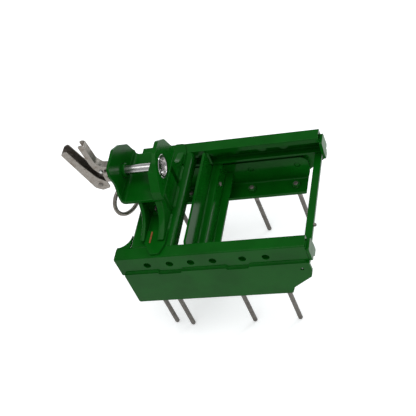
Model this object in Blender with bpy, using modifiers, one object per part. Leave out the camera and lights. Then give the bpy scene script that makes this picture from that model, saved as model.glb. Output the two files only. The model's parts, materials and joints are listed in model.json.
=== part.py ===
"""Quick coupler frame for a loader or tractor.

Two lipped channel rails carry a folded saddle with a pinned clevis at one end.
The frame bolts down through two folded brackets. The coupling pin slides out of
the clevis with its pair of pliers-like grips, and a drop ring hangs below.

Frame of the part: X along the rails (clevis end at -X), Y across, Z up. The
origin is on the mid-plane, half-way along the rails, at the brackets' undersides.
"""
import math

import bmesh
import bpy
from mathutils import Matrix, Vector

MM = 0.001
GAP = 0.3                    # air left between neighbouring pieces, in mm

# ---- driving sizes, in mm ---------------------------------------------------
RAIL_LENGTH = 631.0
FRAME_WIDTH = 495.0
RAIL_TOP = 230.0             # rail top above the bracket undersides
RAIL_HEIGHT = 85.0
RAIL_STEEL = 8.0
RAIL_FLANGE = 45.0
RAIL_LIP = 20.0
RAIL_FOOT = 32.0             # inward bottom flange
WEB_HOLE = 25.0              # blind bolt seats in the rail webs
SIDE_STEEL = 8.0
BRACKET_STEEL = 12.0
BRACKET_LEG = 77.0
BRACKET_HEIGHT = 115.0
BOLT = 16.0                  # anchor bolt thread size
BOLT_REACH = 210.0           # anchor bolt tip below the bracket
BOLT_ROW = 47.0              # bolt row in from the rail's outer face
PIN = 30.0                   # coupling pin diameter
PIN_HEIGHT = 382.0           # coupling pin axis above the bracket undersides
CLEVIS_GAP = 96.0            # free width between the ears
EAR_THIN = 9.0               # thin ear's plate
EAR_BOSS = 9.0               # how far its bushing stands into the gap
EAR_THICK = 31.0             # thick ear: a pad and a taller plate, cast together
EAR_PAD = 18.0
SADDLE_WIDTH = 149.0
GRIP_PIVOT = (52.0, 345.0)       # long grip's hinge: beyond the rail ends, and height
TRIGGER_PIVOT = (29.0, 401.0)    # short grip's hinge, the same way
RING_RADIUS = 56.0
RING_ROD = 14.0

HALF = RAIL_LENGTH / 2
SIDE = FRAME_WIDTH / 2
LEFT_EAR_IN = -HALF + 52.0   # inner face of the thin ear's bushing
RIGHT_EAR_IN = LEFT_EAR_IN + CLEVIS_GAP
FLOOR_TOP = PIN_HEIGHT - 48.0
FLOOR_STEEL = 11.5
FLOOR_NEAR, FLOOR_FAR = -96.0, 118.0

for old in list(bpy.data.objects):
    bpy.data.objects.remove(old, do_unlink=True)

parts = bpy.data.collections.new("quick_coupler")
tools = bpy.data.collections.new("cutters")
bpy.context.scene.collection.children.link(parts)
bpy.context.scene.collection.children.link(tools)


# ---- materials --------------------------------------------------------------
def paint(name, colour, roughness, metallic):
    mat = bpy.data.materials.new(name)
    mat.use_nodes = True
    shader = mat.node_tree.nodes["Principled BSDF"]
    shader.inputs["Base Color"].default_value = (*colour, 1.0)
    shader.inputs["Roughness"].default_value = roughness
    shader.inputs["Metallic"].default_value = metallic
    return mat


GREEN = paint("green_paint", (0.012, 0.085, 0.014), 0.35, 0.0)
GREEN_CAST = paint("green_paint_casting", (0.010, 0.078, 0.013), 0.45, 0.0)
ZINC = paint("zinc_steel", (0.30, 0.27, 0.25), 0.38, 1.0)
CHROME = paint("ground_pin_steel", (0.62, 0.62, 0.60), 0.16, 1.0)
GRIP = paint("bare_grip_steel", (0.36, 0.33, 0.30), 0.42, 1.0)
SPRING = paint("spring_steel", (0.10, 0.06, 0.045), 0.50, 0.9)
BRONZE = paint("bronze", (0.36, 0.17, 0.05), 0.45, 1.0)


# ---- outlines ---------------------------------------------------------------
def rounded(points, radii, steps=6):
    """Outline with each corner replaced by an arc of its own radius."""
    out = []
    count = len(points)
    for i, here in enumerate(points):
        radius = radii if isinstance(radii, (int, float)) else radii[i]
        p = Vector(here)
        if radius <= 0:
            out.append(tuple(p))
            continue
        to_a = (Vector(points[i - 1]) - p)
        to_b = (Vector(points[(i + 1) % count]) - p)
        a, b = to_a.normalized(), to_b.normalized()
        half = a.angle(b) / 2
        reach = min(radius / math.tan(half), 0.49 * to_a.length, 0.49 * to_b.length)
        true_radius = reach * math.tan(half)
        centre = p + (a + b).normalized() * (true_radius / math.sin(half))
        start = p + a * reach - centre
        end = p + b * reach - centre
        sweep = start.angle_signed(end)
        for k in range(steps + 1):
            turn = Matrix.Rotation(-sweep * k / steps, 2)
            out.append(tuple(centre + turn @ start))
    return out


def circle(x, y, radius, steps=24):
    return [(x + radius * math.cos(2 * math.pi * k / steps),
             y + radius * math.sin(2 * math.pi * k / steps)) for k in range(steps)]


PLANES = {"XY": (Vector((1, 0, 0)), Vector((0, 1, 0))),
          "XZ": (Vector((1, 0, 0)), Vector((0, 0, 1))),
          "YZ": (Vector((0, 1, 0)), Vector((0, 0, 1)))}
NORMAL = {"XY": Vector((0, 0, 1)), "XZ": Vector((0, 1, 0)), "YZ": Vector((1, 0, 0))}


def slab(loops, plane, low, high):
    """Flat outline (first loop) with holes (other loops), low..high along the
    plane's normal axis. Sizes in mm, mesh in metres."""
    curve = bpy.data.curves.new("outline", "CURVE")
    curve.dimensions = "2D"
    curve.fill_mode = "BOTH"
    curve.extrude = (high - low) / 2 * MM
    for loop in loops:
        line = curve.splines.new("POLY")
        line.points.add(len(loop) - 1)
        for point, (a, b) in zip(line.points, loop):
            point.co = (a * MM, b * MM, 0.0, 1.0)
        line.use_cyclic_u = True
    holder = bpy.data.objects.new("outline", curve)
    tools.objects.link(holder)
    graph = bpy.context.evaluated_depsgraph_get()
    mesh = bpy.data.meshes.new_from_object(holder.evaluated_get(graph))
    bpy.data.objects.remove(holder, do_unlink=True)
    bpy.data.curves.remove(curve)
    u, v = PLANES[plane]
    n = NORMAL[plane]
    mid = (high + low) / 2 * MM
    for vert in mesh.vertices:
        a, b, c = vert.co
        vert.co = u * a + v * b + n * (c + mid)
    tidy(mesh)
    return mesh


def tidy(mesh):
    bm = bmesh.new()
    bm.from_mesh(mesh)
    bmesh.ops.remove_doubles(bm, verts=bm.verts, dist=0.000002)
    bmesh.ops.dissolve_limit(bm, angle_limit=math.radians(0.2), verts=bm.verts, edges=bm.edges)
    bmesh.ops.recalc_face_normals(bm, faces=bm.faces)
    bm.to_mesh(mesh)
    bm.free()


def rod(start, end, radius, steps=24, radius_end=None):
    """Closed cylinder or cone between two points, in mm."""
    a, b = Vector(start) * MM, Vector(end) * MM
    mesh = bpy.data.meshes.new("rod")
    bm = bmesh.new()
    turn = (b - a).to_track_quat("Z", "Y").to_matrix().to_4x4()
    bmesh.ops.create_cone(bm, cap_ends=True, segments=steps, radius1=radius * MM,
                          radius2=(radius if radius_end is None else radius_end) * MM,
                          depth=(b - a).length,
                          matrix=Matrix.Translation((a + b) / 2) @ turn)
    bm.to_mesh(mesh)
    bm.free()
    return mesh


def turned(profile, start, direction, steps=32):
    """Turned shape: a profile of (distance along, radius) pairs on a Screw
    modifier, laid along a direction. A shape with a bore closes on itself."""
    line = bpy.data.meshes.new("profile")
    spots = [(r * MM, 0.0, z * MM) for z, r in profile]
    joins = [(i, i + 1) for i in range(len(spots) - 1)]
    if profile[0][1] > 0:
        joins.append((len(spots) - 1, 0))
    line.from_pydata(spots, joins, [])
    holder = bpy.data.objects.new("profile", line)
    tools.objects.link(holder)
    screw = holder.modifiers.new("turn", "SCREW")
    screw.axis = "Z"
    screw.angle = 2 * math.pi
    screw.steps = screw.render_steps = steps
    screw.use_merge_vertices = True
    screw.merge_threshold = 0.00001
    graph = bpy.context.evaluated_depsgraph_get()
    mesh = bpy.data.meshes.new_from_object(holder.evaluated_get(graph))
    bpy.data.objects.remove(holder, do_unlink=True)
    lay = Vector(direction).normalized().to_track_quat("Z", "Y").to_matrix().to_4x4()
    mesh.transform(Matrix.Translation(Vector(start) * MM) @ lay)
    bm = bmesh.new()
    bm.from_mesh(mesh)
    bmesh.ops.recalc_face_normals(bm, faces=bm.faces)
    bm.to_mesh(mesh)
    bm.free()
    return mesh


def together(*meshes):
    """Several closed bodies in one mesh."""
    bm = bmesh.new()
    for mesh in meshes:
        bm.from_mesh(mesh)
    out = bpy.data.meshes.new("group")
    bm.to_mesh(out)
    bm.free()
    return out


def moved(mesh, x=0.0, y=0.0, z=0.0):
    out = mesh.copy()
    out.transform(Matrix.Translation(Vector((x, y, z)) * MM))
    return out


def mirrored(mesh):
    """The same shape on the other side of the mid-plane."""
    out = mesh.copy()
    out.transform(Matrix.Scale(-1, 4, Vector((0, 1, 0))))
    out.flip_normals()
    return out


def combine(base, others, operation):
    """Exact boolean of a mesh with a list of meshes, as a new mesh."""
    a = bpy.data.objects.new("base", base)
    tools.objects.link(a)
    made = []
    for other in others:
        b = bpy.data.objects.new("cutter", other)
        b.display_type = "WIRE"
        b.hide_render = True
        tools.objects.link(b)
        made.append(b)
        step = a.modifiers.new(operation.lower(), "BOOLEAN")
        step.operation = operation
        step.solver = "EXACT"
        step.object = b
    graph = bpy.context.evaluated_depsgraph_get()
    mesh = bpy.data.meshes.new_from_object(a.evaluated_get(graph))
    for holder in [a] + made:
        bpy.data.objects.remove(holder, do_unlink=True)
    tidy(mesh)
    return mesh


def round_edges(mesh, test, radius, steps=8):
    """Round the edges whose two ends both pass the test (mm coordinates)."""
    bm = bmesh.new()
    bm.from_mesh(mesh)
    picked = [e for e in bm.edges
              if test(e.verts[0].co / MM, e.verts[1].co / MM)]
    bmesh.ops.bevel(bm, geom=picked, offset=radius * MM, offset_type="OFFSET",
                    segments=steps, profile=0.5, affect="EDGES", clamp_overlap=False)
    bmesh.ops.recalc_face_normals(bm, faces=bm.faces)
    bm.to_mesh(mesh)
    bm.free()
    return mesh


def node(name, mesh, material, pivot=None, soften=0.0):
    """One named piece. A moving piece has its origin on its joint's axis."""
    mesh.name = name
    if pivot is not None:
        mesh.transform(Matrix.Translation(-Vector(pivot) * MM))
    obj = bpy.data.objects.new(name, mesh)
    parts.objects.link(obj)
    if pivot is not None:
        obj.location = Vector(pivot) * MM
    mesh.materials.clear()
    mesh.materials.append(material)
    if soften:
        edge = obj.modifiers.new("edge", "BEVEL")
        edge.width = soften * MM
        edge.segments = 2
        edge.limit_method = "ANGLE"
        edge.angle_limit = math.radians(50)
        edge.harden_normals = False
    for face in mesh.polygons:
        face.use_smooth = True
    mesh.set_sharp_from_angle(angle=math.radians(32))
    return obj


def both_sides(name, mesh, material, **extra):
    """A piece on the near (-Y) side and its mirror image on the far side."""
    other = mirrored(mesh)
    node(name + "_near", mesh, material, **extra)
    node(name + "_far", other, material, **extra)


def inward(distance):
    """Y on the near side, measured in from the rail's outer face."""
    return -SIDE + distance


def from_end(distance):
    """X measured from the rails' clevis end."""
    return -HALF + distance


# ---- rails: lipped channels, open towards the middle ---------------------------
foot = RAIL_TOP - RAIL_HEIGHT
rail_line = rounded(
    [(inward(0), RAIL_TOP), (inward(RAIL_FLANGE), RAIL_TOP),
     (inward(RAIL_FLANGE), RAIL_TOP - RAIL_LIP),
     (inward(RAIL_FLANGE - RAIL_STEEL), RAIL_TOP - RAIL_LIP),
     (inward(RAIL_FLANGE - RAIL_STEEL), RAIL_TOP - RAIL_STEEL),
     (inward(RAIL_STEEL), RAIL_TOP - RAIL_STEEL),
     (inward(RAIL_STEEL), foot + RAIL_STEEL), (inward(RAIL_FOOT), foot + RAIL_STEEL),
     (inward(RAIL_FOOT), foot), (inward(0), foot)],
    [4, 3, 0, 0, 2, 3, 3, 0, 0, 4], 4)
rail = slab([rail_line], "YZ", -HALF, HALF)
hole_z = RAIL_TOP - 40
WEB_HOLES = [from_end(d) for d in (103, 180, 252, 326, 424, 500)]
WEB_R = WEB_HOLE / 2
seats = [rod((x, inward(5), hole_z), (x, inward(20), hole_z), WEB_R + 5, 20) for x in WEB_HOLES]
holes = [turned([(-5, 0), (-5, WEB_R), (10, WEB_R), (10, 5.5), (17, 5.5), (17, 0)],
                (x, inward(0), hole_z), (0, 1, 0), 20) for x in WEB_HOLES]
rail = combine(rail, [together(*seats)], "UNION")     # blind weld nuts fuse to the web
rail = combine(rail, [together(*holes)], "DIFFERENCE")
both_sides("side_rail", rail, GREEN)

# ---- side plates: lapped outside the rails' lower edge ---------------------------
top = RAIL_TOP - 72
side_line = [(from_end(11), top), (from_end(130), top), (from_end(134), top - 7.5),
             (from_end(208), top - 7.5), (from_end(212), top), (from_end(361), top),
             (from_end(365), top - 7.5), (from_end(434), top - 7.5), (from_end(438), top),
             (HALF - 0.5, top), (HALF + 0.5, 116), (HALF - 8.5, 88), (HALF - 76.5, 38),
             (HALF - 88, 10), (from_end(9), 10)]
side_line = rounded(side_line, [6, 2, 2, 2, 2, 2, 2, 2, 2, 5, 8, 14, 14, 5, 5], 4)
side = slab([side_line, circle(HALF - 29.5, 129, 6)], "XZ", inward(-SIDE_STEEL - GAP), inward(-GAP))
PLUG_X = [from_end(d) for d in (62, 180, 352, 520)]
BRACKET_WEB_Z = 80.0
plugs = [turned([(-3, 0), (-3, 10), (9, 9.6), (10.4, 8.2), (10.4, 0)],
                (x, inward(0), BRACKET_WEB_Z), (0, 1, 0), 20) for x in PLUG_X]
side = combine(side, plugs, "UNION")         # plug welds fuse into the plate
both_sides("side_plate", side, GREEN)

# ---- folded mounting brackets ------------------------------------------------------
B_LOW, B_HIGH = from_end(20), HALF - 70.5
bracket_line = rounded(
    [(inward(0), BRACKET_HEIGHT), (inward(0), 0), (inward(BRACKET_LEG), 0),
     (inward(BRACKET_LEG), BRACKET_STEEL), (inward(BRACKET_STEEL), BRACKET_STEEL),
     (inward(BRACKET_STEEL), BRACKET_HEIGHT)], [0, 18, 0, 0, 7, 0], 6)
bracket = slab([bracket_line], "YZ", B_LOW, B_HIGH)


def free_corner(a, b):
    at_end = abs(a.x - b.x) < 0.01 and min(abs(a.x - B_LOW), abs(a.x - B_HIGH)) < 0.01
    leg = abs(a.y - inward(BRACKET_LEG)) < 0.01 and abs(b.y - inward(BRACKET_LEG)) < 0.01
    crest = abs(a.z - BRACKET_HEIGHT) < 0.01 and abs(b.z - BRACKET_HEIGHT) < 0.01
    return at_end and (leg or crest)


bracket = round_edges(bracket, free_corner, 28)
corner = [(68.5, 72), (45.5, 72), (45.5, -5), (91.5, -5), (87, 10), (75.5, 38)]
cut = slab([[(HALF - back, z) for back, z in corner]], "XZ",
           inward(-5), inward(BRACKET_LEG + 5))      # follows the side plate's cut corner
bracket = combine(bracket, [cut], "DIFFERENCE")
BOLTS = [(from_end(55), 60.0)] + [(from_end(d), BOLT_ROW) for d in (118, 345, 505)]
holes = [rod((x, inward(row), -5), (x, inward(row), 20), BOLT / 2 + 0.8) for x, row in BOLTS]
holes += [rod((x, inward(-5), BRACKET_WEB_Z), (x, inward(20), BRACKET_WEB_Z), 11) for x in PLUG_X]
bracket = combine(bracket, [together(*holes)], "DIFFERENCE")
both_sides("mount_bracket", bracket, GREEN)

# ---- anchor bolts and washers ------------------------------------------------------
washer_z = BRACKET_STEEL + GAP
head_z = washer_z + 3 + GAP
hexagon = circle(0, 0, 12 / math.cos(math.pi / 6), 6)
head = slab([hexagon], "XY", head_z, head_z + 10)
shank = turned([(head_z + 14, 0), (head_z + 14, BOLT / 2 - 1.5), (head_z + 12.5, BOLT / 2),
                (-BOLT_REACH + 5, BOLT / 2),
                (-BOLT_REACH + 1.4, BOLT / 2 - 1.6), (-BOLT_REACH, BOLT / 2 - 4.6),
                (-BOLT_REACH, 0)], (0, 0, 0), (0, 0, 1), 20)
bolt = combine(head, [shank], "UNION")
washer = turned([(0, BOLT / 2 + 0.6), (3, BOLT / 2 + 0.6), (3, 15), (0, 15)],
                (0, 0, washer_z), (0, 0, 1), 24)
for number, (x, row) in enumerate(BOLTS, 1):
    y = inward(row)
    both_sides(f"washer_{number}", moved(washer, x, y), ZINC)
    both_sides(f"anchor_bolt_{number}", moved(bolt, x, y), ZINC)

# ---- saddle: folded cross channel under the clevis --------------------------------------
inner = SIDE - RAIL_FLANGE - GAP
S0, S1 = from_end(46), from_end(46 + SADDLE_WIDTH)
saddle_line = rounded(
    [(S0, RAIL_TOP - 40), (S0, RAIL_TOP), (S1, RAIL_TOP), (S1, RAIL_TOP - 40),
     (S1 - 8, RAIL_TOP - 40), (S1 - 8, RAIL_TOP - 8), (S0 + 8, RAIL_TOP - 8),
     (S0 + 8, RAIL_TOP - 40)], [0, 12, 18, 0, 0, 10, 4, 0], 6)
node("saddle", slab([saddle_line], "XZ", -inner, inner), GREEN)

flare = [(S0 - GAP, -inner), (S0 - GAP, -inner + 54), (S0 - 3, -inner + 38),
         (S0 - 9, -inner + 25), (S0 - 20, -inner + 13), (S0 - 33, -inner + 6),
         (S0 - 45, -inner + 4), (S0 - 45, -inner)]
both_sides("corner_gusset", slab([flare], "XY", RAIL_TOP - 9, RAIL_TOP - 1), GREEN)

strap_line = rounded([(from_end(90), inward(104)), (from_end(97), inward(60)),
                      (from_end(127), inward(8)), (from_end(158), inward(8)),
                      (from_end(172), inward(46)), (from_end(172), inward(104))],
                     [4, 10, 5, 12, 12, 4], 4)
both_sides("saddle_strap", slab([strap_line], "XY", RAIL_TOP + GAP, RAIL_TOP + 8), GREEN)
rub = slab([rounded([(from_end(117), inward(52)), (from_end(122), inward(52)),
                     (from_end(122), inward(98)), (from_end(117), inward(98))], 2, 3)],
           "XY", RAIL_TOP + 8 + GAP, RAIL_TOP + 10.5)
node("rub_strip", rub, BRONZE)

# ---- clevis: pedestal, floor, ribs and two ears ---------------------------------------------
FLOOR_LOW = FLOOR_TOP - FLOOR_STEEL
P0, P1 = from_end(76), from_end(170)
ped = slab([rounded([(P0, -62), (P1, -62), (P1, 62), (P0, 62)], 16),
            rounded([(P0 + 10, -52), (P1 - 10, -52), (P1 - 10, 52), (P0 + 10, 52)], 7)],
           "XY", RAIL_TOP + GAP, FLOOR_LOW - GAP)
node("pedestal", ped, GREEN_CAST)

E0, E1 = LEFT_EAR_IN, RIGHT_EAR_IN
OUTER = E0 - EAR_BOSS - EAR_THIN              # thin ear's outer face
THIN_IN = OUTER + EAR_THIN
EAR_FOOT = FLOOR_LOW + 32.0
REBATE = 3.0                  # the thick ear stands in a shallow rebate in the floor
channel = rounded([(OUTER, EAR_FOOT), (OUTER, FLOOR_LOW), (E1 + EAR_THICK, FLOOR_LOW),
                   (E1 + EAR_THICK, FLOOR_TOP - REBATE), (E1 - 2, FLOOR_TOP - REBATE),
                   (E1 - 2, FLOOR_TOP), (THIN_IN, FLOOR_TOP), (THIN_IN, EAR_FOOT)],
                  [0, 28, 7, 0, 0, 0, 19, 0], 8)
node("clevis_floor", slab([channel], "XZ", FLOOR_NEAR, FLOOR_FAR), GREEN_CAST, soften=1.5)

rib_low = RAIL_TOP + 8 + GAP
rib_line = [(-62 - GAP, FLOOR_LOW - GAP), (-94, FLOOR_LOW - GAP), (-98, FLOOR_LOW - 16),
            (-106, FLOOR_LOW - 34), (-119, FLOOR_LOW - 50), (-139, FLOOR_LOW - 63),
            (-166, FLOOR_LOW - 72), (-190, FLOOR_LOW - 77), (-190, rib_low), (-142, rib_low),
            (-142, RAIL_TOP + GAP), (-62 - GAP, RAIL_TOP + GAP)]
for place, low, high in (("outer", 88, 101), ("inner", 146, 168)):
    both_sides(f"saddle_rib_{place}", slab([rib_line], "YZ", from_end(low), from_end(high)),
               GREEN_CAST)

ear_foot = EAR_FOOT + GAP - PIN_HEIGHT
thin_line = rounded([(-95.5, ear_foot), (-82, 24), (-90, 64), (-79, 92), (0, 98), (46, 72),
                     (94, 26), (112, -20), (118, ear_foot)],
                    [0, 30, 20, 16, 24, 24, 24, 16, 0], 5)
thick_foot = FLOOR_TOP - REBATE + GAP - PIN_HEIGHT
thick_line = rounded([(-95.8, thick_foot), (-90, -22), (-80, -8), (-64, 16), (-38, 50), (-6, 68),
                      (46, 70), (86, 38), (104, -6), (112, -22), (117.8, thick_foot)],
                     [0, 12, 20, 30, 30, 20, 26, 30, 20, 8, 0], 5)


def lift(line):
    return [(y, z + PIN_HEIGHT) for y, z in line]


bore = PIN / 2 + GAP
node("ear_thin", slab([lift(thin_line), circle(0, PIN_HEIGHT, 23.3, 32)], "YZ",
                      OUTER, THIN_IN), GREEN_CAST, soften=2.0)
thick = slab([lift(thick_line), circle(0, PIN_HEIGHT, bore, 32)], "YZ", E1, E1 + EAR_THICK)
over = slab([lift(rounded([(-130, 30), (54, 30), (104, -10), (140, -10), (140, 150),
                           (-130, 150)], [0, 14, 0, 0, 0, 0], 5))], "YZ", E1 - 5, E1 + EAR_PAD)
seat = rod((E1 + EAR_PAD, 0, PIN_HEIGHT), (E1 + EAR_THICK + 5, 0, PIN_HEIGHT), 39.3, 40)
thick = combine(combine(thick, [over], "DIFFERENCE"), [seat], "DIFFERENCE")
node("ear_thick", thick, GREEN_CAST, soften=1.5)
node("bushing_thin", turned([(0, bore), (EAR_THIN + EAR_BOSS, bore), (EAR_THIN + EAR_BOSS, 21),
                             (EAR_THIN + EAR_BOSS - 2, 23), (0, 23)],
                            (OUTER, 0, PIN_HEIGHT), (1, 0, 0), 32), GREEN_CAST)
seat = EAR_PAD + GAP
node("bushing_thick", turned([(seat, bore), (EAR_THICK - 9, bore), (EAR_THICK - 8, 27),
                              (EAR_THICK + 0.5, 29), (EAR_THICK + 1.5, 30),
                              (EAR_THICK + 1.5, 37.5), (EAR_THICK, 39), (seat, 39)],
                             (E1, 0, PIN_HEIGHT), (1, 0, 0), 40), CHROME)

# ---- grease nipple on the pedestal --------------------------------------
nipple = turned([(0, 0), (0, 5), (4, 5), (4, 3), (8, 2.6), (11, 4), (13.5, 3), (14.5, 0)],
                (from_end(123), -62 - GAP, FLOOR_LOW - 62), (0, -1, 0), 16)
node("grease_nipple", nipple, ZINC)

# ---- middle cross member: web plate and Z-section --------------------------------------------
M = from_end(231)
web_low = RAIL_TOP - 164
leg_in = SIDE - BRACKET_STEEL - GAP
web_line = [(-leg_in, web_low), (leg_in, web_low), (leg_in, foot - 20), (inner, foot - 8),
            (inner, RAIL_TOP - 11), (inner - 10, RAIL_TOP - 1), (-inner + 10, RAIL_TOP - 1),
            (-inner, RAIL_TOP - 11), (-inner, foot - 8), (-leg_in, foot - 20)]
node("middle_web", slab([web_line], "YZ", M, M + 8), GREEN)
Z_TOP, Z_FOOT = RAIL_TOP - 90, RAIL_TOP - 163
z_line = rounded([(M + 8 + GAP, Z_TOP), (M + 32, Z_TOP), (M + 32, Z_FOOT + 8),
                  (M + 57, Z_FOOT + 8), (M + 57, Z_FOOT), (M + 24, Z_FOOT),
                  (M + 24, Z_TOP - 8), (M + 8 + GAP, Z_TOP - 8)], [0, 5, 3, 0, 0, 6, 3, 0], 4)
z_bar = slab([z_line], "XZ", -leg_in, leg_in)
z_bar = combine(z_bar, [together(
    rod((M + 16, -150, Z_FOOT + 46), (M + 40, -150, Z_FOOT + 46), 5, 16),
    rod((M + 16, 150, Z_FOOT + 46), (M + 40, 150, Z_FOOT + 46), 5, 16))], "DIFFERENCE")
node("middle_z_bar", z_bar, GREEN)
screw = turned([(0, 0), (0, 4.6), (10, 4.6), (10, 8), (12, 8), (14, 6.4), (15, 3), (15, 0)],
               (M + 22.3, -150, Z_FOOT + 46), (1, 0, 0), 16)
both_sides("middle_screw", screw, ZINC)

# ---- end bar and rail end caps ------------------------------------------------------------------
BAR_OUT, BAR_WIDTH = HALF - 6.0, 25.0
bar = slab([[(BAR_OUT - BAR_WIDTH, -SIDE + GAP), (BAR_OUT, -SIDE + GAP), (BAR_OUT, SIDE - GAP),
             (BAR_OUT - BAR_WIDTH, SIDE - GAP)]], "XY", foot - GAP - 12, foot - GAP)
node("end_bar", bar, GREEN, soften=1.5)
cap_line = rounded([(inward(2), RAIL_TOP - 21), (inward(50), RAIL_TOP - 21),
                    (inward(57), RAIL_TOP - 62), (inward(57), RAIL_TOP - 90),
                    (inward(30), RAIL_TOP - 90), (inward(22), RAIL_TOP - 77),
                    (inward(2), RAIL_TOP - 77)], [5, 8, 6, 5, 5, 5, 5], 4)
both_sides("end_cap", slab([cap_line], "YZ", HALF + GAP, HALF + 10), GREEN)
stop = turned([(0, 0), (0, 6), (3, 6), (8, 4), (8, 0)], (BAR_OUT + GAP, -90, foot - 6), (1, 0, 0), 16)
node("end_stop", stop, ZINC)

# ---- coupling pin with its tail block ---------------------------------------------------------------
AX = (LEFT_EAR_IN, 0, PIN_HEIGHT)
pin_end, tail_end = E1 + EAR_THICK - 7, OUTER - 52.5
collar_x = OUTER - GAP
pin_mesh = turned([(pin_end, 0), (pin_end, PIN / 2 - 4), (pin_end - 4, PIN / 2),
                   (tail_end + 1, PIN / 2), (tail_end, PIN / 2 - 1), (tail_end, 0)],
                  (0, 0, PIN_HEIGHT), (1, 0, 0), 40)
roll_x = OUTER - 42.5
pin_mesh = combine(pin_mesh, [rod((roll_x, -25, PIN_HEIGHT), (roll_x, 25, PIN_HEIGHT), 4.3, 16)],
                   "DIFFERENCE")
node("coupling_pin", pin_mesh, CHROME, pivot=AX)
node("pin_collar", turned([(0, bore), (0, 19), (2, 21), (12, 21), (14, 19), (14, bore)],
                          (collar_x - 14, 0, PIN_HEIGHT), (1, 0, 0), 32), CHROME, pivot=AX)

gx, gz = -HALF - GRIP_PIVOT[0], GRIP_PIVOT[1]
tx, tz = -HALF - TRIGGER_PIVOT[0], TRIGGER_PIVOT[1]
block_out, block_in = OUTER - 58.5, OUTER - 27.5
block = slab([rounded([(block_out, PIN_HEIGHT - 24), (block_in, PIN_HEIGHT - 24),
                       (block_in, PIN_HEIGHT + 20), (block_out + 7, PIN_HEIGHT + 20),
                       (block_out, PIN_HEIGHT + 8)], 3, 3)], "XZ", -21, 21)
tongue = slab([rounded([(gx - 9, gz - 9), (gx + 6, gz - 12),
                        (block_out + 15, PIN_HEIGHT - 20), (block_out + 15, PIN_HEIGHT + 12), (tx + 8, tz - 7), (tx + 6.5, tz + 6.5),
                        (tx - 6.5, tz + 6.5), (tx - 9, tz - 10), (gx - 9, gz + 12)],
                       [8, 8, 4, 0, 2, 6.4, 6.4, 10, 10], 5)],
              "XZ", -6, 6)
tail = combine(block, [tongue, rod((gx, -14.5, gz), (gx, 14.5, gz), 11, 24)], "UNION")
tail = combine(tail, [
    rod((tail_end - 2, 0, PIN_HEIGHT), (OUTER - 18.5, 0, PIN_HEIGHT), bore, 40),
    together(rod((gx, -25, gz), (gx, 25, gz), 5.3, 20), rod((tx, -25, tz), (tx, 25, tz), 4.3, 20),
             rod((roll_x, -30, PIN_HEIGHT), (roll_x, -12, PIN_HEIGHT), 4.3, 16),
             rod((roll_x, 12, PIN_HEIGHT), (roll_x, 30, PIN_HEIGHT), 4.3, 16))], "DIFFERENCE")
node("tail_block", tail, GRIP, pivot=AX)
node("roll_pin", turned([(-20.5, 0), (-20.5, 3), (-19.5, 4), (19.5, 4), (20.5, 3), (20.5, 0)],
                        (roll_x, 0, PIN_HEIGHT), (0, 1, 0), 16), ZINC, pivot=AX)


def rivet(x, z, radius, half, head, reach):
    """Headed cross pin along Y."""
    return turned([(-half - reach, 0), (-half - reach, head * 0.7), (-half - reach * 0.4, head),
                   (-half, head), (-half, radius), (half, radius), (half, head),
                   (half + reach * 0.4, head), (half + reach, head * 0.7), (half + reach, 0)],
                  (x, 0, z), (0, 1, 0), 20)


node("grip_pivot_pin", rivet(gx, gz, 5, 18.3, 8, 2.6), ZINC, pivot=AX)
node("trigger_pivot_pin", rivet(tx, tz, 4, 13.3, 7, 4.0), CHROME, pivot=AX)


# ---- long grip: pressed channel, open towards the short grip -----------------------------------------
def grip_shell(outer, inside, half, steel):
    shell = slab([outer], "XZ", -half, half)
    room = slab([inside], "XZ", -half + steel, half - steel)
    return combine(shell, [room], "DIFFERENCE")


def at_grip(points):
    return [(gx + a, gz + b) for a, b in points]


long_outer = rounded(at_grip([(-78, 155), (-56, 167), (-33, 105), (0, 34), (27, 10), (29, -17),
                              (-2, -26), (-24, -13)]), [7, 7, 40, 20, 8, 8, 10, 14], 5)
long_inner = at_grip([(-75, 154), (-60, 190), (60, 60), (60, -40), (2, -60), (-19, -34),
                      (-20.5, -13)])
long_grip = grip_shell(long_outer, long_inner, 18, 3)
long_grip = combine(long_grip, [rod((gx, -25, gz), (gx, 25, gz), 5.3, 20)], "DIFFERENCE")
node("long_grip", long_grip, GRIP, pivot=(gx, 0, gz))


# ---- short grip (trigger) with its latch nose ----------------------------------------------------------
def at_trigger(points):
    return [(tx + a, tz + b) for a, b in points]


short_outer = rounded(at_trigger([(-33, 121), (-21, 124), (-12, 121), (-6, 42), (10, 20),
                                  (57, 17), (57, 8), (14, 6.5), (10, 3), (3, -4), (0, -8),
                                  (-8, -9), (-22, 14), (-27, 40)]),
                      [5, 6, 5, 20, 12, 3, 1.5, 3, 3, 3, 4, 8, 12, 30], 4)
short_inner = at_trigger([(-60, 150), (-60, -30), (9, -30), (9, 6), (6.5, 15), (-9.3, 40),
                          (-14.6, 150)])
short_grip = grip_shell(short_outer, short_inner, 13, 2.5)
short_grip = combine(short_grip, [rod((tx, -25, tz), (tx, 25, tz), 4.3, 20)], "DIFFERENCE")
node("short_grip", short_grip, GRIP, pivot=(tx, 0, tz))

# ---- torsion spring round the short grip's hinge ----------------------------------------------------------
wire = bpy.data.curves.new("wire", "CURVE")
wire.dimensions = "3D"
wire.bevel_depth = 0.6 * MM
wire.bevel_resolution = 2
wire.use_fill_caps = True
TURNS, PER_TURN, PITCH, COIL = 1.75, 16, 1.5, 6.2
points = []
for k in range(int(TURNS * PER_TURN) + 1):
    angle = math.radians(170) + 2 * math.pi * k / PER_TURN
    points.append((tx + COIL * math.cos(angle), 6.95 + PITCH * k / PER_TURN,
                   tz + COIL * math.sin(angle)))
line = wire.splines.new("POLY")
line.points.add(len(points) - 1)
for spot, co in zip(line.points, points):
    spot.co = (*(c * MM for c in co), 1.0)
holder = bpy.data.objects.new("wire", wire)
tools.objects.link(holder)
graph = bpy.context.evaluated_depsgraph_get()
coil = bpy.data.meshes.new_from_object(holder.evaluated_get(graph))
bpy.data.objects.remove(holder, do_unlink=True)
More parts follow.
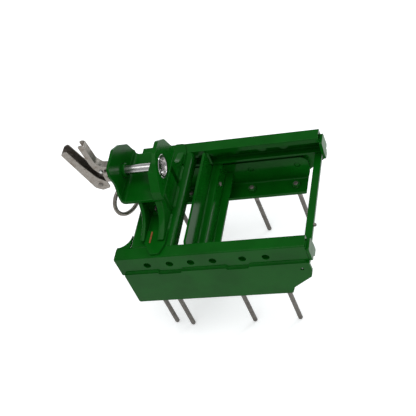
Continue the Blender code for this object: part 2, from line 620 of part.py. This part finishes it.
tidy(coil)
node("trigger_spring", coil, SPRING, pivot=AX)

# ---- latch keeper behind the thin ear, under the short grip's nose --------------------
back = OUTER - GAP
keeper = slab([rounded([(back, PIN_HEIGHT + 22), (back, PIN_HEIGHT + 26.4),
                        (back - 13, PIN_HEIGHT + 26.4), (back - 13, PIN_HEIGHT + 22)],
                       [0, 0, 2, 1], 3)], "XZ", -17, 17)
node("latch_keeper", keeper, GREEN_CAST)

# ---- drop ring hanging from its lug -----------------------------------------------------------------------------
RING_TOP = (OUTER - 34.5, 0.0, 304.0)
TURN = math.radians(60)
along = Vector((math.cos(TURN), math.sin(TURN), 0))
across = Vector((-math.sin(TURN), math.cos(TURN), 0))
bpy.ops.mesh.primitive_torus_add(
    major_segments=40, minor_segments=10, major_radius=RING_RADIUS * MM,
    minor_radius=RING_ROD / 2 * MM)
ring = bpy.context.active_object
ring_mesh = ring.data.copy()
bpy.data.objects.remove(ring, do_unlink=True)
stand = across.to_track_quat("Z", "Y").to_matrix().to_4x4()
hang = Vector((RING_TOP[0], RING_TOP[1], RING_TOP[2] - RING_RADIUS))
ring_mesh.transform(Matrix.Translation(hang * MM) @ stand)
node("drop_ring", ring_mesh, ZINC, pivot=RING_TOP)

HOLE_UP = 1.2
lug = slab([rounded([(-17, -15), (-17, 16), (20, 55), (60, 55), (60, 12), (14, -16)],
                    [15, 12, 10, 0, 0, 16], 5),
            circle(0, HOLE_UP, RING_ROD / 2 + HOLE_UP + 0.6, 20)], "XZ", -4, 4)
lug.transform(Matrix.Translation(Vector(RING_TOP) * MM) @ Matrix.Rotation(TURN - math.pi / 2, 4, "Z"))
wall = slab([[(back, -200), (back + 90, -200), (back + 90, 200), (back, 200)]], "XY", 250, 400)
node("ring_lug", combine(lug, [wall], "DIFFERENCE"), GREEN_CAST)
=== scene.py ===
# %% [markdown]
# # A quick coupler in green enamel and bare steel
# The coupler is a welded frame: two channel rails on bolted brackets, cross members between
# them, and at one end a clevis whose steel pin is pulled out by a pair of grips. The packed
# CAD model already has every plate and pin in its place, so this lesson gives each one its
# finish, adds the welds and fillets that join them, and lights it all in a plain studio.

# %% Load the packed frame
import json
import math

import bmesh
import bpy
import numpy as np
from mathutils import Matrix, Vector


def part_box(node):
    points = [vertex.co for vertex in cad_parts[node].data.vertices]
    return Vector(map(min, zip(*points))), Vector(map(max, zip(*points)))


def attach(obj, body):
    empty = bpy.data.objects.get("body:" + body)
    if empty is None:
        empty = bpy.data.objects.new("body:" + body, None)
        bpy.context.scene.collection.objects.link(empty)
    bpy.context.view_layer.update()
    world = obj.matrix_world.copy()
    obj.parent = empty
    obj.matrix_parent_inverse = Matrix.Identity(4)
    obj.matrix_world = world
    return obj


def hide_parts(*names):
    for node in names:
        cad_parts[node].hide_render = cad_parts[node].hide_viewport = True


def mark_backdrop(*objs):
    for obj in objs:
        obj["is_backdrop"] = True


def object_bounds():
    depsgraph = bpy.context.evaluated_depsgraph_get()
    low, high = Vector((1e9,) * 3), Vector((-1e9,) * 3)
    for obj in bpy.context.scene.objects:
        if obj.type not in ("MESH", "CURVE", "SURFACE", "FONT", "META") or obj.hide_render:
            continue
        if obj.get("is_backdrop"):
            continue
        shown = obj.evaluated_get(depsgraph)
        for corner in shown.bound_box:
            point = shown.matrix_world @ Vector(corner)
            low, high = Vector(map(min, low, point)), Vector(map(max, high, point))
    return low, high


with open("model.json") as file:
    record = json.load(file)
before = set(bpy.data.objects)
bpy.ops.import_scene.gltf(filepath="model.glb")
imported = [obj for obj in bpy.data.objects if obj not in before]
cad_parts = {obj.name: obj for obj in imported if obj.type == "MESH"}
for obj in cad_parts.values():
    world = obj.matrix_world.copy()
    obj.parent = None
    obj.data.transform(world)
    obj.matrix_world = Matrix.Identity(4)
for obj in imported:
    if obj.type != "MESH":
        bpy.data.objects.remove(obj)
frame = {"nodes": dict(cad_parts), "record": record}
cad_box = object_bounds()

nodes = frame["nodes"]
MM = 0.001
print("CAD box", [round(v, 4) for v in cad_box[0]], [round(v, 4) for v in cad_box[1]])

# %% [markdown]
# ## Shader maths as plain Python
# A finish is a small calculation that runs at every point of a surface. Wiring Math nodes
# by hand is slow to read, so a socket is wrapped in a class with operators: `1 - mask * 0.4`
# then adds the three nodes it needs. The reflected forms let a plain number come first.


# %% A socket with operators
class Wire:
    """One output socket. Arithmetic on it adds Math nodes to its material."""

    def __init__(self, finish, socket):
        self.finish, self.socket = finish, socket

    def maths(self, operation, *values, clamp=False):
        settings = {"operation": operation, "use_clamp": clamp}
        return self.finish.add("ShaderNodeMath", settings, dict(enumerate(values)))

    def __add__(self, other):
        return self.maths("ADD", self, other)

    def __sub__(self, other):
        return self.maths("SUBTRACT", self, other)

    def __mul__(self, other):
        return self.maths("MULTIPLY", self, other)

    def __rsub__(self, other):
        return self.maths("SUBTRACT", other, self)

    __radd__, __rmul__ = __add__, __mul__

    def above(self, low, high):
        """0 below low, 1 above high, and smooth between them."""
        settings = {"interpolation_type": "SMOOTHSTEP"}
        return self.finish.add("ShaderNodeMapRange", settings,
                               {"Value": self, "From Min": low, "From Max": high})

    def kept(self):
        """The value held between 0 and 1."""
        return self.maths("ADD", self, 0.0, clamp=True)


print("operators:", [name for name in vars(Wire) if name.startswith("__r")])


# %% [markdown]
# ## One class for a finish
# Every finish here ends in a Principled shader. `add` makes any node: first its settings,
# because some settings change which sockets a node has, then the values or links of its
# sockets. Constants go straight onto the shader's own sockets, and only what changes over
# the surface is linked.


# %% A finish and its nodes
class Finish:
    """A node material built in code around one Principled shader."""

    def __init__(self, name, **constants):
        self.material = bpy.data.materials.new(name)
        self.material.use_nodes = True
        self.tree = self.material.node_tree
        self.shader = self.tree.nodes["Principled BSDF"]
        for socket, value in constants.items():
            self.shader.inputs[socket.replace("_", " ")].default_value = value
        self.place = self.add("ShaderNodeNewGeometry", output="Position")

    def add(self, kind, settings=None, sockets=None, output=0):
        """Any node: its type, its settings, then its sockets' values or links."""
        node = self.tree.nodes.new(kind)
        for key, value in (settings or {}).items():
            setattr(node, key, value)
        for key, value in (sockets or {}).items():
            if isinstance(value, Wire):
                self.tree.links.new(value.socket, node.inputs[key])
            else:
                node.inputs[key].default_value = value
        return Wire(self, node.outputs[output])

    def noise(self, scale, detail=3.0, roughness=0.5, stretch=None, seed=0.0):
        """Noise between 0 and 1, with `scale` patches to the metre."""
        where = self.place
        if stretch:
            where = self.add("ShaderNodeVectorMath", {"operation": "MULTIPLY"},
                             {0: where, 1: stretch})
        return self.add("ShaderNodeTexNoise", {"noise_dimensions": "4D"},
                        {"Vector": where, "W": seed, "Scale": scale, "Detail": detail,
                         "Roughness": roughness})

    def blend(self, mask, below, above):
        """A colour that goes from one to another as the mask goes from 0 to 1."""
        mixed = self.add("ShaderNodeMix", {"data_type": "RGBA"}, {0: mask, 6: below, 7: above},
                         output=2)
        return mixed

    def bump(self, height, distance, strength=1.0, normal=None):
        sockets = {"Height": height, "Distance": distance, "Strength": strength}
        if normal:
            sockets["Normal"] = normal
        return self.add("ShaderNodeBump", None, sockets)

    def edge(self, radius):
        """1 on the sharp edges of a piece and 0 on its flats."""
        soft = self.add("ShaderNodeBevel", {"samples": 4}, {"Radius": radius})
        true = self.add("ShaderNodeNewGeometry", output="Normal")
        agree = self.add("ShaderNodeVectorMath", {"operation": "DOT_PRODUCT"},
                         {0: soft, 1: true}, output="Value")
        return (1 - agree).above(0.015, 0.16)

    def axis(self, letter):
        """One coordinate of the point, in metres."""
        split = self.add("ShaderNodeSeparateXYZ", None, {"Vector": self.place}, output=letter)
        return split

    def link(self, **sockets):
        for key, value in sockets.items():
            self.tree.links.new(value.socket, self.shader.inputs[key.replace("_", " ")])
        return self.material


def rgb(red, green, blue):
    return (red, green, blue, 1.0)


print("a finish starts with", [n.name for n in Finish("trial").tree.nodes])
bpy.data.materials.remove(bpy.data.materials["trial"])

# %% [markdown]
# ## Green enamel on rolled plate
# Rails and plates are blasted, primed and sprayed with a hard gloss enamel. Up close the
# film isn't flat: it has an orange-peel ripple a few millimetres across, it pulls thin over
# sharp edges and goes slightly darker there, and handling leaves dull smears. The colour
# therefore stays almost even, while roughness and bump carry the detail.


# %% Green enamel
DEEP_GREEN = rgb(0.0014, 0.0590, 0.0030)
FRESH_GREEN = rgb(0.0020, 0.0750, 0.0040)
THIN_GREEN = rgb(0.0060, 0.0900, 0.0120)
PRIMER = rgb(0.0350, 0.0430, 0.0300)
DUST = rgb(0.0420, 0.0700, 0.0330)


def enamel(name, under_scale, under_depth, wear=0.5, seed=0.0):
    """Gloss enamel over a surface whose own grain has the given scale and depth."""
    paint = Finish(name, Specular_IOR_Level=0.075, IOR=1.5)
    clouds = paint.noise(9.0, 4.0, 0.55, seed=seed)
    colour = paint.blend(clouds.above(0.35, 0.68), DEEP_GREEN, FRESH_GREEN)
    edge = paint.edge(1.6 * MM)
    colour = paint.blend(edge * 0.55, colour, THIN_GREEN)
    chips = paint.noise(230.0, 4.0, 0.6, seed=seed + 3)
    chipped = (edge * (chips + 0.18)).above(0.66 - 0.06 * wear, 0.74)
    colour = paint.blend((chipped * wear).kept(), colour, PRIMER)
    smear = paint.noise(26.0, 6.0, 0.62, (1.0, 0.5, 1.0), seed + 7).above(0.5, 0.78)
    specks = paint.noise(640.0, 2.0, 0.5, seed=seed + 9).above(0.69, 0.76)
    colour = paint.blend(specks * 0.35, colour, DUST)
    rough = 0.13 + smear * 0.14 + specks * 0.2 + chipped * 0.3 + clouds * 0.04
    peel = paint.noise(190.0, 2.0, 0.5, seed=seed + 1)
    grain = paint.noise(under_scale, 3.0, 0.6, seed=seed + 2)
    waves = paint.noise(14.0, 1.0, 0.5, seed=seed + 4)
    under = paint.bump(grain, under_depth * MM, 0.9)
    peeled = paint.bump(peel, 0.10 * MM, 0.55, under)
    normal = paint.bump(waves, 0.9 * MM, 0.35, peeled)
    return paint.link(Base_Color=colour, Roughness=rough.kept(), Normal=normal)


plate_paint = enamel("green_enamel_plate", 60.0, 0.10)
print("plate enamel:", len(plate_paint.node_tree.nodes), "nodes")

# %% [markdown]
# ## Green enamel on castings
# The clevis parts are cast, so sand grain shows through the same enamel as a soft pebbled
# surface. The same function makes it, with a coarser and deeper grain underneath.

# %% Enamel on castings
cast_paint = enamel("green_enamel_casting", 240.0, 0.28, wear=0.7, seed=20.0)
print("casting enamel:", len(cast_paint.node_tree.nodes), "nodes")

# %% [markdown]
# ## Zinc-plated bolts with rolled thread
# The long anchor bolts and the small screws are plated steel: satin grey with a warm
# passivated tint, cloudy where they have been handled. The thread is a ridge that climbs
# 2 mm a turn. It is fine enough to be a bump on the round shank. The frame was sprayed with
# its bolts in place, so each nut is green and only the stub of thread above it is bare. The
# distance from the bolt's axis tells one from the other.


# %% Zinc plate, plain and threaded
ZINC_LIGHT = rgb(0.200, 0.185, 0.166)
ZINC_DULL = rgb(0.105, 0.094, 0.082)
PITCH = 2.0 * MM


def zinc(name, thread_axes=(), painted=False, seed=40.0):
    """Zinc plate. thread_axes lists the (x, y) of each threaded shank, in metres."""
    plate = Finish(name, Metallic=0.72, Specular_IOR_Level=0.45)
    clouds = plate.noise(70.0, 5.0, 0.6, seed=seed)
    spangle = plate.add("ShaderNodeTexVoronoi", {"feature": "F1"},
                        {"Vector": plate.place, "Scale": 420.0}, output="Distance")
    tone = (clouds * 0.8 + spangle * 0.35).above(0.34, 0.76)
    colour = plate.blend(tone, ZINC_DULL, ZINC_LIGHT)
    edge = plate.edge(0.8 * MM)
    colour = plate.blend(edge * 0.5, colour, rgb(0.50, 0.48, 0.45))
    rough = 0.36 + clouds * 0.16 - edge * 0.08
    normal = plate.bump(plate.noise(900.0, 2.0, 0.5, seed=seed + 1), 0.03 * MM, 0.6)
    if thread_axes:
        x, y, height = plate.axis("X"), plate.axis("Y"), plate.axis("Z")
        turn = None
        for ax, ay in thread_axes:
            dx, dy = x - ax, y - ay
            near = 1 - (dx * dx + dy * dy).above((12 * MM) ** 2, (12.2 * MM) ** 2)
            angle = dy.maths("ARCTAN2", dy, dx) * near
            turn = angle if turn is None else turn + angle
        climb = height * (2 * math.pi / PITCH) + turn
        ridge = climb.maths("SINE", climb) * (1 - height.above(-0.045, -0.035))
        normal = plate.bump(ridge, 0.45 * MM, 0.8, normal)
    if not painted:
        return plate.link(Base_Color=colour, Roughness=rough.kept(), Normal=normal)
    bare = None
    for ax, ay in thread_axes:
        dx, dy = x - ax, y - ay
        shank = 1 - (dx * dx + dy * dy).above((8.3 * MM) ** 2, (8.9 * MM) ** 2)
        bare = shank if bare is None else bare + shank
    nut = ((1 - bare) * height.above(-0.001, 0.001)).kept()
    worn = plate.noise(300.0, 4.0, 0.6, seed=seed + 5) + edge * 0.35
    nut = nut * (1 - worn.above(0.72, 0.8))
    colour = plate.blend(nut, colour, FRESH_GREEN)
    return plate.link(Base_Color=colour, Roughness=(rough - nut * 0.16).kept(), Normal=normal,
                      Metallic=0.72 - nut * 0.72)


shanks = [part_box(name) for name in sorted(nodes) if name.startswith("anchor_bolt")]
centres = [(low.x / 2 + high.x / 2, low.y / 2 + high.y / 2) for low, high in shanks]
threaded_zinc = zinc("zinc_threaded", centres, painted=True)
plain_zinc = zinc("zinc_plain", seed=44.0)
print(len(centres), "threaded shanks, pitch", PITCH, "m")

# %% [markdown]
# ## Ground and chromed pin
# The coupling pin slides in its bushings, so it is turned, ground and hard chromed. Grinding
# leaves very fine rings round it. A noise that is squeezed hard along X and loose across it
# draws those rings, and grease leaves a few dull bands.


# %% Ground steel
def ground(name, light, dark, rough_low, seed=60.0):
    steel = Finish(name, Metallic=1.0)
    rings = steel.noise(900.0, 2.0, 0.55, (1.0, 0.04, 0.04), seed)
    grease = steel.noise(38.0, 4.0, 0.6, (1.0, 0.5, 0.5), seed + 1).above(0.52, 0.74)
    colour = steel.blend((rings * 0.5 + grease * 0.6).kept(), light, dark)
    rough = rough_low + rings * 0.10 + grease * 0.16
    normal = steel.bump(rings, 0.02 * MM, 0.5)
    return steel.link(Base_Color=colour, Roughness=rough.kept(), Normal=normal)


pin_steel = ground("ground_pin_steel", rgb(0.60, 0.59, 0.58), rgb(0.26, 0.25, 0.25), 0.12)
print("pin steel:", pin_steel.name)

# %% [markdown]
# ## Pressed grips
# The two grips are pressed from sheet and left bare under a thin clear oil: a warm grey with
# fine scratches along the pull, polished where a hand wears it, and brownish where oil and
# dust settle in the folds.


# %% Bare pressed steel
def pressed(name, seed=80.0):
    steel = Finish(name, Metallic=0.85, Specular_IOR_Level=0.5)
    scratches = steel.noise(420.0, 3.0, 0.6, (1.0, 0.12, 0.30), seed)
    oil = steel.noise(48.0, 5.0, 0.6, seed=seed + 1).above(0.48, 0.72)
    colour = steel.blend(scratches.above(0.3, 0.75), rgb(0.205, 0.183, 0.160),
                         rgb(0.320, 0.298, 0.272))
    colour = steel.blend(oil * 0.65, colour, rgb(0.135, 0.095, 0.060))
    edge = steel.edge(0.9 * MM)
    colour = steel.blend(edge * 0.7, colour, rgb(0.46, 0.44, 0.41))
    rough = 0.30 + oil * 0.16 + scratches * 0.12 - edge * 0.1
    normal = steel.bump(scratches, 0.05 * MM, 0.5)
    return steel.link(Base_Color=colour, Roughness=rough.kept(), Normal=normal)


grip_steel = pressed("bare_grip_steel")
print("grip steel:", grip_steel.name)

# %% [markdown]
# ## Spring wire and the bronze strip
# The torsion spring is drawn wire, darker and smoother than the grips. The drop ring and its
# lug are bare and worn like the grips, so they take the same function with another seed. The
# rub strip on the strap is a sliver of bronze that has browned in the open.

# %% Spring and bronze
wire_steel = ground("spring_wire", rgb(0.40, 0.39, 0.38), rgb(0.12, 0.115, 0.11), 0.2, 90.0)
ring_steel = pressed("worn_ring_steel", 110.0)


def browned(name, seed=100.0):
    metal = Finish(name, Metallic=0.35)
    patches = metal.noise(160.0, 5.0, 0.6, seed=seed)
    colour = metal.blend(patches.above(0.35, 0.7), rgb(0.30, 0.085, 0.018),
                         rgb(0.16, 0.050, 0.016))
    normal = metal.bump(patches, 0.12 * MM, 0.6)
    return metal.link(Base_Color=colour, Roughness=(0.42 + patches * 0.25).kept(),
                      Normal=normal)


bronze = browned("browned_bronze")
print("spring and strip:", wire_steel.name, bronze.name)

# %% [markdown]
# ## Each CAD piece gets its finish
# The piece's record slot says what it is made of, so a short table from slot to finish
# covers most of them. Castings, threaded bolts, painted washers and the worn ring with its
# lug differ from their slot's other pieces, so they are picked by name.

# %% Assign the finishes
by_slot = {"green_paint": plate_paint, "zinc_steel": plain_zinc, "ground_steel": pin_steel,
           "bare_steel": grip_steel, "spring_steel": wire_steel, "bronze": bronze}
slot_of = {}
for row in frame["record"]["subparts"]:
    slot_of[row["node"]] = row["material_slot"]
print("slots", sorted(set(slot_of.values())), "for", len(slot_of), "pieces")
CAST = ("ear_", "bushing_thin", "pedestal", "clevis_floor", "saddle_rib", "latch_keeper")
for name, piece in nodes.items():
    finish = by_slot[slot_of.get(name, "green_paint")]
    if name.startswith(CAST):
        finish = cast_paint
    if name.startswith("anchor_bolt"):
        finish = threaded_zinc
    if name.startswith("washer"):
        finish = plate_paint
    if name in ("drop_ring", "ring_lug"):
        finish = ring_steel
    for place in piece.material_slots:
        place.material = finish
print({m.name: sum(o.material_slots[0].material == m for o in nodes.values())
       for m in (plate_paint, cast_paint, plain_zinc, threaded_zinc, pin_steel, grip_steel)})

# %% [markdown]
# ## Cast ribs with soft edges
# The four ribs that carry the clevis down to the saddle are cast, so no edge is sharp. The
# CAD ribs are cut square. A copy with a wide Bevel modifier stands in for each, and smooth
# shading lets the light roll over it as it does over a casting.


# %% Round the ribs
def softened(name, node, radius, body="frame"):
    """A copy of a CAD node with rounded edges, shown in its place."""
    copy = bpy.data.objects.new(name, nodes[node].data.copy())
    bpy.context.scene.collection.objects.link(copy)
    weld_first = copy.modifiers.new("join", "WELD")
    weld_first.merge_threshold = 0.01 * MM
    bevel = copy.modifiers.new("round", "BEVEL")
    bevel.width, bevel.segments, bevel.limit_method = radius, 4, "ANGLE"
    bevel.angle_limit = math.radians(35)
    mesh = bpy.data.meshes.new_from_object(
        copy.evaluated_get(bpy.context.evaluated_depsgraph_get()))
    copy.modifiers.clear()
    copy.data = mesh
    mesh.materials.clear()
    mesh.materials.append(cast_paint)
    for face in mesh.polygons:
        face.use_smooth = True
    mesh.set_sharp_from_angle(angle=math.radians(60))
    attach(copy, body)
    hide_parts(node)
    return copy


RIB_EDGE = 4.5 * MM
for place in ("outer_near", "outer_far", "inner_near", "inner_far"):
    rib = softened("cast_rib_" + place, "saddle_rib_" + place, RIB_EDGE)
    print(rib.name, len(rib.data.polygons), "faces")

# %% [markdown]
# ## Weld beads
# A real frame is held by its welds, and they fill the hairline gaps between the CAD plates.
# A fillet weld is a bead laid in a corner: its section is nearly a triangle with a slightly
# full face, and each pool of metal leaves a ripple. One function sweeps such a section along
# any path, and swells it a little at each ripple, so a bead can follow a notched edge.

# %% Sweep a bead
CORNER = [(math.cos(t) ** 1.6, math.sin(t) ** 1.6) for t in np.linspace(0, math.pi / 2, 6)]
COVE = [(math.cos(t) ** 2.9, math.sin(t) ** 2.9) for t in np.linspace(0, math.pi / 2, 9)]
SEAM = [(math.cos(t), 0.34 * math.sin(t)) for t in np.linspace(0, math.pi, 7)]
beads = {}


def spaced(path, step):
    """Points every `step` along a polyline, both ends kept."""
    out = []
    for a, b in zip(path[:-1], path[1:]):
        count = max(1, round((b - a).length / step))
        out += [a.lerp(b, k / count) for k in range(count)]
    return out + [path[-1]]


def bead(group, path, first, second, leg, section=CORNER, ripple=0.07, step=1.7 * MM):
    """A bead along path. first and second point away from the corner along its two faces."""
    shape = beads.setdefault(group, bmesh.new())
    path = [Vector(p) for p in path]
    first, second = Vector(first).normalized(), Vector(second).normalized()
    random = np.random.default_rng(int(1e4 * abs(sum(sum(p) for p in path))) + len(path))
    rings = []
    spots = spaced(path, step)
    sunk = -(first + second) * 0.4 * MM if section is not SEAM else -second * 0.4 * MM
    for k, spot in enumerate(spots):
        taper = min(1.0, 0.45 + min(k, len(spots) - 1 - k) * 0.2)
        size = leg * taper * (1 + ripple * math.sin(k * 2.1) + ripple * random.normal() * 0.4)
        ring = [shape.verts.new(spot + first * a * size + second * b * size)
                for a, b in section]
        rings.append([shape.verts.new(spot + sunk)] + ring)
    for one, two in zip(rings[:-1], rings[1:]):
        for k in range(len(one)):
            n = (k + 1) % len(one)
            shape.faces.new((one[k], one[n], two[n], two[k]))
    shape.faces.new(rings[0][::-1])
    shape.faces.new(rings[-1])
    return shape


def lay(finish=cast_paint, body="frame"):
    """Turn each group of beads into one piece."""
    for group, shape in beads.items():
        bmesh.ops.recalc_face_normals(shape, faces=shape.faces)
        mesh = bpy.data.meshes.new(group)
        shape.to_mesh(mesh)
        mesh.materials.append(finish)
        for face in mesh.polygons:
            face.use_smooth = True
        mesh.set_sharp_from_angle(angle=math.radians(55))
        piece = bpy.data.objects.new(group, mesh)
        bpy.context.scene.collection.objects.link(piece)
        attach(piece, body)
        print(group, len(mesh.polygons), "faces")
        shape.free()
    beads.clear()


print("sections:", len(CORNER), len(COVE), len(SEAM), "points")

# %% [markdown]
# ## Where the welds go
# Every path starts from the box of the plate it joins, so the beads follow the CAD. Each is
# laid on the near side and on the far side, mirrored in Y.

# %% Side plates, brackets and rails
X, Y, Z = Vector((1, 0, 0)), Vector((0, 1, 0)), Vector((0, 0, 1))


rail_low, rail_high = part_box("side_rail_near")
plate_low, plate_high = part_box("side_plate_near")
bracket_low, bracket_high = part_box("mount_bracket_near")
web_low, web_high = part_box("middle_web")
z_low, z_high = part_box("middle_z_bar")
saddle_low, saddle_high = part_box("saddle")
outer = rail_low.y
flange = rail_high.y
NOTCH_DEPTH = 7.5 * MM
NOTCHES = [(0.130, 0.134, 0.208, 0.212), (0.361, 0.365, 0.434, 0.438)]
top, dip = plate_high.z, plate_high.z - NOTCH_DEPTH
for side, hand in (("near", 1), ("far", -1)):
    group = "weld_rail_" + side
    edge = [(plate_low.x + 8 * MM, top)]
    for a, b, c, d in NOTCHES:
        edge += [(rail_low.x + a, top), (rail_low.x + b, dip), (rail_low.x + c, dip),
                 (rail_low.x + d, top)]
    edge.append((plate_high.x - 12 * MM, top))
    bead(group, [(x, hand * outer, z) for x, z in edge], -Y * hand, Z, 5 * MM)
    inside = [(bracket_low.x + 34 * MM, hand * outer, bracket_high.z),
              (bracket_high.x - 36 * MM, hand * outer, bracket_high.z)]
    bead(group, inside, Y * hand, Z, 6 * MM)
    for x, away in ((web_low.x, -X), (web_high.x, X)):
        line = [(x, hand * flange, rail_high.z - 12 * MM),
                (x, hand * flange, rail_high.z - 70 * MM)]
        bead(group, line, away, Y * hand, 5 * MM)
    seam = [(saddle_low.x + 14 * MM, hand * flange, rail_high.z),
            (saddle_high.x - 16 * MM, hand * flange, rail_high.z)]
    bead(group, seam, Y, Z, 3.6 * MM, SEAM)
bead("weld_cross_members", [(z_low.x, z_low.y + 6 * MM, z_high.z),
                            (z_low.x, z_high.y - 6 * MM, z_high.z)], X, Z, 5 * MM)
print("side plate top", round(top, 4), "flange edge", round(flange, 4))

# %% Saddle straps, pedestal and ribs
strap_low, strap_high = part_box("saddle_strap_near")
ped_low, ped_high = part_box("pedestal")
strap_foot = saddle_high.z
outline = [(0, 96), (7, 52), (37, 0), (68, 0), (82, 38), (82, 96)]
for side, hand in (("near", 1), ("far", -1)):
    group = "weld_saddle_" + side
    for (ax, ay), (bx, by) in zip(outline[:-1], outline[1:]):
        a = Vector((strap_low.x + ax * MM, hand * (strap_low.y + ay * MM), strap_foot))
        b = Vector((strap_low.x + bx * MM, hand * (strap_low.y + by * MM), strap_foot))
        out = (b - a).cross(Z).normalized() * -hand
        shift = out * 0.1 * MM
        bead(group, [a + shift, b + shift], out, Z, 5.5 * MM)
    for place in ("outer", "inner"):
        low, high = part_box(f"saddle_rib_{place}_{side}")
        wall = (ped_low.y if hand > 0 else ped_high.y)
        for x, away in ((low.x, -X), (high.x, X)):
            line = [(x, wall, strap_foot + 9 * MM), (x, wall, ped_high.z - 4 * MM)]
            bead(group, line, away, -Y * hand, 6 * MM)
            foot = [(x, wall - hand * 10 * MM, strap_foot), (x, wall - hand * 78 * MM, strap_foot)]
            bead(group, foot, away, Z, 5 * MM)
for y, away in ((ped_low.y, -Y), (ped_high.y, Y)):
    line = [(ped_low.x + 15 * MM, y, strap_foot), (ped_high.x - 15 * MM, y, strap_foot)]
    bead("weld_pedestal", line, away, Z, 7 * MM)
for x, away in ((ped_low.x, -X), (ped_high.x, X)):
    line = [(x, ped_low.y + 15 * MM, strap_foot), (x, ped_high.y - 15 * MM, strap_foot)]
    bead("weld_pedestal", line, away, Z, 7 * MM)
print("pedestal foot", [round(v, 3) for v in (ped_low.x, ped_low.y, strap_foot)])

# %% [markdown]
# ## Cast fillets in the clevis
# The ears and the floor of the clevis are one smooth U. Where the thick ear meets the floor
# a concave fillet, or cove, runs along the corner. It is the same sweep with a hollow
# section and no ripple, and a low seam covers the parting line under the thin ear.

# %% Clevis coves
thick_low, thick_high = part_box("ear_thick")
thin_low, thin_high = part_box("ear_thin")
floor_low, floor_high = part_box("clevis_floor")
foot_z = thick_low.z - 0.3 * MM
reach = 3 * MM
HAIRLINE = 0.1 * MM           # a parting line along the underside of the floor
bead("cast_fillets", [(thick_low.x, floor_low.y + reach, foot_z),
                      (thick_low.x, floor_high.y - reach, foot_z)], -X, Z, 12 * MM, COVE, 0.0,
     6 * MM)
for x, out in ((thin_high.x, X), (thin_low.x, -X)):
    bead("cast_fillets", [(x, floor_low.y + reach, thin_low.z),
                          (x, floor_high.y - reach, thin_low.z)], Z, out, 2.2 * MM, SEAM, 0.0,
         6 * MM)
bead("cast_fillets", [(thick_high.x, floor_low.y + reach, foot_z),
                      (thick_high.x, floor_high.y - reach, foot_z)], Z, X, 2.2 * MM, SEAM, 0.0,
     6 * MM)
for y, out in ((floor_low.y, -Y), (floor_high.y, Y)):
    bead("cast_fillets", [(thick_low.x, y, foot_z), (thick_high.x, y, foot_z)], Z, out,
         2.0 * MM, SEAM, 0.0, 6 * MM)
    bead("cast_fillets", [(ped_low.x + 10 * MM, y - out.y * 36 * MM, floor_low.z),
                          (ped_high.x, y - out.y * 36 * MM, floor_low.z)], Y * out.y, -Z,
         HAIRLINE, COVE, 0.0, 6 * MM)
lay()

# %% [markdown]
# ## Studio: floor, light and camera
# The coupler stands in a white studio. A pale floor under the bolts fills the lower half of
# every reflection, and one wide softbox overhead makes the top faces brighter than the
# sides. The camera looks down from the near side, past the end away from the clevis.

# %% Floor and light
FLOOR = cad_box[0].z - 0.0005


def studio_floor():
    mesh = bpy.data.meshes.new("studio_floor")
    shape = bmesh.new()
    bmesh.ops.create_grid(shape, x_segments=2, y_segments=2, size=60.0)
    shape.to_mesh(mesh)
    shape.free()
    floor = bpy.data.objects.new("studio_floor", mesh)
    floor.location.z = FLOOR
    bpy.context.scene.collection.objects.link(floor)
    pale = Finish("studio_pale", Specular_IOR_Level=0.1, Emission_Strength=0.42,
                  Emission_Color=rgb(0.98, 0.99, 1.0))
    soft = pale.noise(1.4, 2.0, 0.5)
    tone = pale.blend(soft, rgb(0.90, 0.90, 0.90), rgb(0.93, 0.93, 0.93))
    mesh.materials.append(pale.link(Base_Color=tone, Roughness=0.75 + soft * 0.1))
    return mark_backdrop(floor)


studio_floor()
world = bpy.data.worlds.new("studio_air")
bpy.context.scene.world = world
world.use_nodes = True
air = world.node_tree.nodes["Background"]
air.inputs["Color"].default_value = rgb(0.96, 0.98, 1.0)
air.inputs["Strength"].default_value = 0.52
print("floor at", round(FLOOR, 4))


# %% Softboxes
def softbox(name, where, aim, width, height, power, colour=(1, 1, 1)):
    lamp = bpy.data.lights.new(name, "AREA")
    lamp.shape = "RECTANGLE"
    lamp.size, lamp.size_y, lamp.energy, lamp.color = width, height, power, colour
    holder = bpy.data.objects.new(name, lamp)
    holder.location = where
    holder.rotation_euler = (Vector(aim) - Vector(where)).to_track_quat("-Z", "Y").to_euler()
    bpy.context.scene.collection.objects.link(holder)
    return holder


softbox("overhead", (0.2, -0.4, 3.2), (0, 0, 0), 3.4, 3.4, 72)
softbox("far_strip", (2.4, 2.2, 1.6), (0, 0, 0.2), 0.5, 2.2, 18, (0.93, 0.97, 1.0))

# %% Camera
lens_view = bpy.data.cameras.new("studio_camera")
lens_view.sensor_width = 36.0
lens_view.lens = 88.9
camera = bpy.data.objects.new("studio_camera", lens_view)
camera.matrix_world = Matrix(((0.9371, 0.0842, 0.3387, 1.1012),
                              (0.1579, 0.7633, -0.6265, -2.13897),
                              (-0.3113, 0.6406, 0.7020, 2.55933),
                              (0.0, 0.0, 0.0, 1.0)))
bpy.context.scene.collection.objects.link(camera)
bpy.context.scene.camera = camera
bpy.context.scene.view_settings.view_transform = "Standard"
print("camera", [round(v, 3) for v in camera.location], "lens", lens_view.lens)
